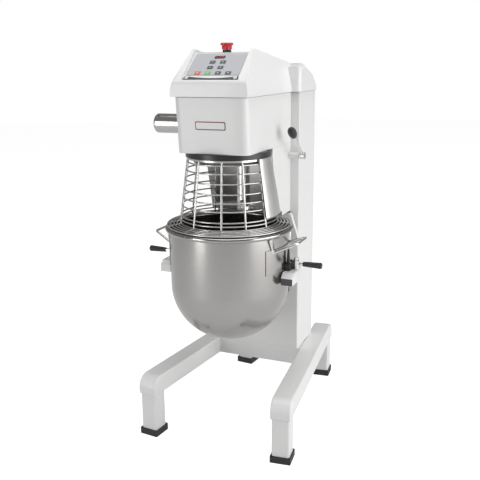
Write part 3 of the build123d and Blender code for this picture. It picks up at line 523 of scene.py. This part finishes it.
def make_stop_button():
    low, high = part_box("estop_button")
    centre, radius, top = (low + high) / 2, (high.x - low.x) / 2, high.z
    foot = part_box("estop_collar")[1].z + LIFT_OFF_COLLAR
    bm = bmesh.new()
    for z, ring in ((foot, 0.0145), (foot + 0.001, 0.0165), (top - HEAD_THICK - 0.002, 0.0165),
                    (top - HEAD_THICK, 0.0175)):
        circle = bmesh.ops.create_circle(bm, cap_ends=False, radius=ring, segments=SKIRT_POINTS)
        for vert in circle["verts"]:
            vert.co.z = z
    bm.verts.ensure_lookup_table()
    for vert in bm.verts[SKIRT_POINTS:3 * SKIRT_POINTS]:
        if vert.index // RIB_WIDTH % 2:
            vert.co.x, vert.co.y = vert.co.x * GROOVE_SCALE, vert.co.y * GROOVE_SCALE
    bmesh.ops.bridge_loops(bm, edges=bm.edges)
    bmesh.ops.recalc_face_normals(bm, faces=bm.faces)
    bmesh.ops.translate(bm, vec=(centre.x, centre.y, 0), verts=bm.verts)
    skirt = from_bmesh("emergency_stop_skirt", bm)
    outline = [(top - HEAD_THICK, 0), (top - HEAD_THICK, radius * 0.8),
               (top - 0.0072, radius * 0.97), (top - 0.0058, radius), (top - 0.0026, radius),
               (top - 0.0010, radius * 0.95), (top - 0.0003, radius * 0.86),
               (top, radius * 0.7), (top, 0)]
    place = Matrix.Translation((centre.x, centre.y, 0))
    return skirt, turned("emergency_stop_head", outline, place, steps=64)


for piece in make_stop_button():
    finish_piece(piece, finish["red_plastic"], BODY_OF["estop_button"])
    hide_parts("estop_button")
print("emergency stop: skirt and head")

# %% [markdown]
# Everything on the sloping panel is laid out flat first, in the panel's own plane, and then
# carried there by one matrix. Its origin is the middle of the slope's foot, x runs across and y
# up the slope.

# %% Panel plane and flat shapes
PANEL_FOOT = (0, -0.338, 1.252)     # middle of the slope's lower edge
PANEL_SLOPE = math.radians(39.4)
PANEL = Matrix.Translation(PANEL_FOOT) @ Matrix.Rotation(PANEL_SLOPE, 4, "X")


def plate(size, at, base, height, corner):
    """Flat plate with rounded corners: size across and up, raised from base by height."""
    bm = bmesh.new()
    bmesh.ops.create_grid(bm, x_segments=1, y_segments=1, size=0.5)
    bmesh.ops.scale(bm, vec=(size[0], size[1], 1), verts=bm.verts)
    bmesh.ops.bevel(bm, geom=bm.verts, offset=corner, segments=4, profile=0.5,
                    affect="VERTICES", material=-1)
    raised = bmesh.ops.extrude_face_region(bm, geom=bm.faces[:], use_keep_orig=True)["geom"]
    top = [item for item in raised if isinstance(item, bmesh.types.BMVert)]
    bmesh.ops.translate(bm, vec=(0, 0, height), verts=top)
    bmesh.ops.translate(bm, vec=(at[0], at[1], base), verts=bm.verts)
    bmesh.ops.recalc_face_normals(bm, faces=bm.faces)
    mesh = bpy.data.meshes.new("plate")
    bm.to_mesh(mesh)
    bm.free()
    return mesh


def flat_piece(name, shapes, material, body, matrix=PANEL, round_off=0.0002):
    """One object from several plates, each given as (size, place, base, height, corner)."""
    bm = bmesh.new()
    for shape in shapes:
        mesh = plate(*shape)
        bm.from_mesh(mesh)
        bpy.data.meshes.remove(mesh)
    bmesh.ops.transform(bm, matrix=matrix, verts=bm.verts)
    return soften(finish_piece(from_bmesh(name, bm), material, body), round_off)


# %% [markdown]
# Each key is a rounded plate with a raised pale mark in its middle. The marks are plain signs: a
# plus for more, a flat bar for less, a square for stop and an upright bar for start.

# %% Keys and their marks
LESS = ((0.006, 0.0016),)
MORE = LESS + ((0.0016, 0.006),)
KEYS = {  # place on the panel, and the sign as (across, up) sizes of bars
    "speed_down": ((-0.018, 0.0893), LESS),
    "speed_up": ((0.018, 0.0893), MORE),
    "time_down": ((-0.018, 0.0634), LESS),
    "time_up": ((0.018, 0.0634), MORE),
    "stop": ((-0.053, 0.0375), ((0.0055, 0.0055),)),
    "start": ((-0.018, 0.0375), ((0.0018, 0.007),)),
    "program": ((0.018, 0.0375), ((0.007, 0.0016), (0.005, 0.005))),
    "light": ((0.053, 0.0375), ((0.005, 0.005),)),
}
KEY_SIZE, KEY_CORNER = (0.019, 0.014), 0.002
KEY_BASE, KEY_HEIGHT = 0.0021, 0.0011
MARK_BASE, MARK_HEIGHT, MARK_CORNER = KEY_BASE + KEY_HEIGHT - 0.0002, 0.0004, 0.0003
for key, (place, bars) in KEYS.items():
    node, body = key + "_key", key + "_button"
    cap = flat_piece("cap_" + key, [(KEY_SIZE, place, KEY_BASE, KEY_HEIGHT, KEY_CORNER)],
                     finish[SLOT_OF[node]], body, round_off=0.0005)
    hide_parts(node)
    signs = [(bar, place, MARK_BASE, MARK_HEIGHT, MARK_CORNER) for bar in bars]
    mark = flat_piece("mark_" + key, signs, finish["key_mark"], body, round_off=0.0001)
print("keys:", len(KEYS))

# %% [markdown]
# The display is a smoked window with red digits of seven bars each. A digit is only its bars, so
# one table says where the bars lie, and window and bars are plates from the same helper.

# %% Display
DISPLAY_AT, DISPLAY_SIZE = (0.0, 0.1126), (0.035, 0.012)
WINDOW_BASE, WINDOW_HEIGHT, WINDOW_CORNER = 0.0016, 0.0018, 0.0012
DIGIT_CENTRES = (-0.0105, -0.0035, 0.0035, 0.0105)
DIGIT = (0.0019, 0.0033)                # half width and half height
LEVEL_BAR, UPRIGHT_BAR = (0.0030, 0.0008), (0.0008, 0.0026)
BARS = (  # place in half widths and half heights, and size
    (0, 1, LEVEL_BAR), (0, 0, LEVEL_BAR), (0, -1, LEVEL_BAR), (-1, 0.5, UPRIGHT_BAR),
    (1, 0.5, UPRIGHT_BAR), (-1, -0.5, UPRIGHT_BAR), (1, -0.5, UPRIGHT_BAR))
BAR_BASE = WINDOW_BASE + WINDOW_HEIGHT


def digit_plates(centre):
    for across, up, size in BARS:
        place = (centre + across * DIGIT[0], DISPLAY_AT[1] + up * DIGIT[1])
        yield size, place, BAR_BASE, 0.0002, 0.0002


glow = finish["display_digit"].node_tree.nodes["Principled BSDF"]
glow.inputs["Emission Color"].default_value = (0.8, 0.01, 0.01, 1)
glow.inputs["Emission Strength"].default_value = 0.5
pane = (DISPLAY_SIZE, DISPLAY_AT, WINDOW_BASE, WINDOW_HEIGHT, WINDOW_CORNER)
window = flat_piece("display_window", [pane], finish["display_window"], "stand_and_head",
                    round_off=0.0004)
digits = flat_piece("display_digits",
                    [shape for centre in DIGIT_CENTRES for shape in digit_plates(centre)],
                    finish["display_digit"], "stand_and_head", round_off=0.00005)
print("display:", len(DIGIT_CENTRES), "digits")

# %% [markdown]
# Two white caps cover the screws that hold the dark strip. Each one is a low dome with a driver
# slot, which is a thin dark bar set into it.

# %% Screws of the dark strip
SCREW_OUT, SCREW_UP = 0.084, 0.016      # on the panel, from its middle and its foot
STRIP_TOP = 0.002
CAP_RADIUS, CAP_HEIGHT = 0.0062, 0.0022
SLOT_SIZE, SLOT_BASE = (0.007, 0.0012), 0.0040
CAP_OUTLINE = [(0, 0), (0, CAP_RADIUS), (CAP_HEIGHT * 0.5, CAP_RADIUS),
               (CAP_HEIGHT * 0.85, CAP_RADIUS * 0.85), (CAP_HEIGHT, CAP_RADIUS * 0.5),
               (CAP_HEIGHT, 0)]
for side, word in ((-1, "left"), (1, "right")):
    place = PANEL @ Matrix.Translation((side * SCREW_OUT, SCREW_UP, STRIP_TOP))
    cap = finish_piece(turned("strip_screw_" + word, CAP_OUTLINE, place, steps=32),
                       finish["screw_cap"], "stand_and_head")
    slot_plate = (SLOT_SIZE, (side * SCREW_OUT, SCREW_UP), SLOT_BASE, 0.0004, 0.0002)
    slot_bar = flat_piece("strip_screw_slot_" + word, [slot_plate], finish["charcoal_trim"],
                          "stand_and_head", round_off=0.0001)
print("strip screws: 2")

# %% [markdown]
# The badge on the front is left blank. It is a pale plate in a thin dark frame with a fine red
# line inside it, three plates one on another, on the head's leaning front.

# %% Blank badge
BADGE_LOW, BADGE_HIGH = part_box("nameplate")
BADGE_SIZE = (BADGE_HIGH.x - BADGE_LOW.x, BADGE_HIGH.z - BADGE_LOW.z)
BADGE_AT = ((BADGE_LOW.x + BADGE_HIGH.x) / 2, BADGE_HIGH.y, (BADGE_LOW.z + BADGE_HIGH.z) / 2)
FRONT_LEAN = math.atan2(0.016, 0.180)   # the front leans 16 mm over its 180 mm height
BADGE = Matrix.Translation(BADGE_AT) @ Matrix.Rotation(math.radians(90) + FRONT_LEAN, 4, "X")
SUNK = 0.001                            # how far each layer starts inside the head's skin
LAYERS = (  # name, finish, inset from the edge, height, corner
    ("badge_frame", "charcoal_trim", 0.0, 0.0015, 0.005),
    ("badge_line", "badge_line", 0.0022, 0.0018, 0.0042),
    ("badge_face", "badge_film", 0.0034, 0.0021, 0.0036),
)
for layer_name, layer_finish, inset, height, corner in LAYERS:
    size = tuple(length - 2 * inset for length in BADGE_SIZE)
    layer = flat_piece(layer_name, [(size, (0, 0), -SUNK, height + SUNK, corner)],
                       finish[layer_finish], BODY_OF["nameplate"], matrix=BADGE,
                       round_off=0.0001)
    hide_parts("nameplate")
print("badge:", [round(length * 1000) for length in BADGE_SIZE], "mm")

# %% [markdown]
# The parts inside the casing are never seen whole, but a cut-away or an open guard shows them, so
# they get their steel, iron or rubber too. Their CAD meshes stay as they are.

# %% Finishes on the carried-over nodes
carried = [node for node in frame["nodes"].values() if not node.hide_render]
for node in carried:
    node.data.materials.clear()
    node.data.materials.append(finish[SLOT_OF[node.name]])
print("carried-over nodes:", ", ".join(sorted(node.name for node in carried)))

# %% [markdown]
# The floor is a pale disc far wider than the machine, so that no edge of it shows near the feet.
# Like a sheet of lit paper it glows a little, which keeps the shadow under the machine faint.

# %% Floor
FLOOR_RADIUS = 14.0
FLOOR_GLOW = 0.82               # as the camera sees it
GLOW_IN_REFLECTIONS = 0.45      # share of that glow in shiny surfaces


def make_floor():
    bm = bmesh.new()
    bmesh.ops.create_circle(bm, cap_ends=True, radius=FLOOR_RADIUS, segments=64)
    floor = from_bmesh("floor", bm)
    paper = coated("floor paper", (0.62, 0.62, 0.62), 0.7, pebble=0.0, tone=0.01, specular=0.0)
    shader = paper.node_tree.nodes["Principled BSDF"]
    shader.inputs["Emission Color"].default_value = (1, 1, 1, 1)
    tree, rays = paper.node_tree, add(paper.node_tree, "LightPath").outputs
    mirrored = sums(tree, "MULTIPLY", rays["Is Glossy Ray"], GLOW_IN_REFLECTIONS)
    shown = sums(tree, "MAXIMUM", rays["Is Camera Ray"], mirrored)
    tree.links.new(sums(tree, "MULTIPLY", shown, FLOOR_GLOW), shader.inputs["Emission Strength"])
    floor.data.materials.append(paper)
    scene.collection.objects.link(floor)


make_floor()

# %% json import
import json
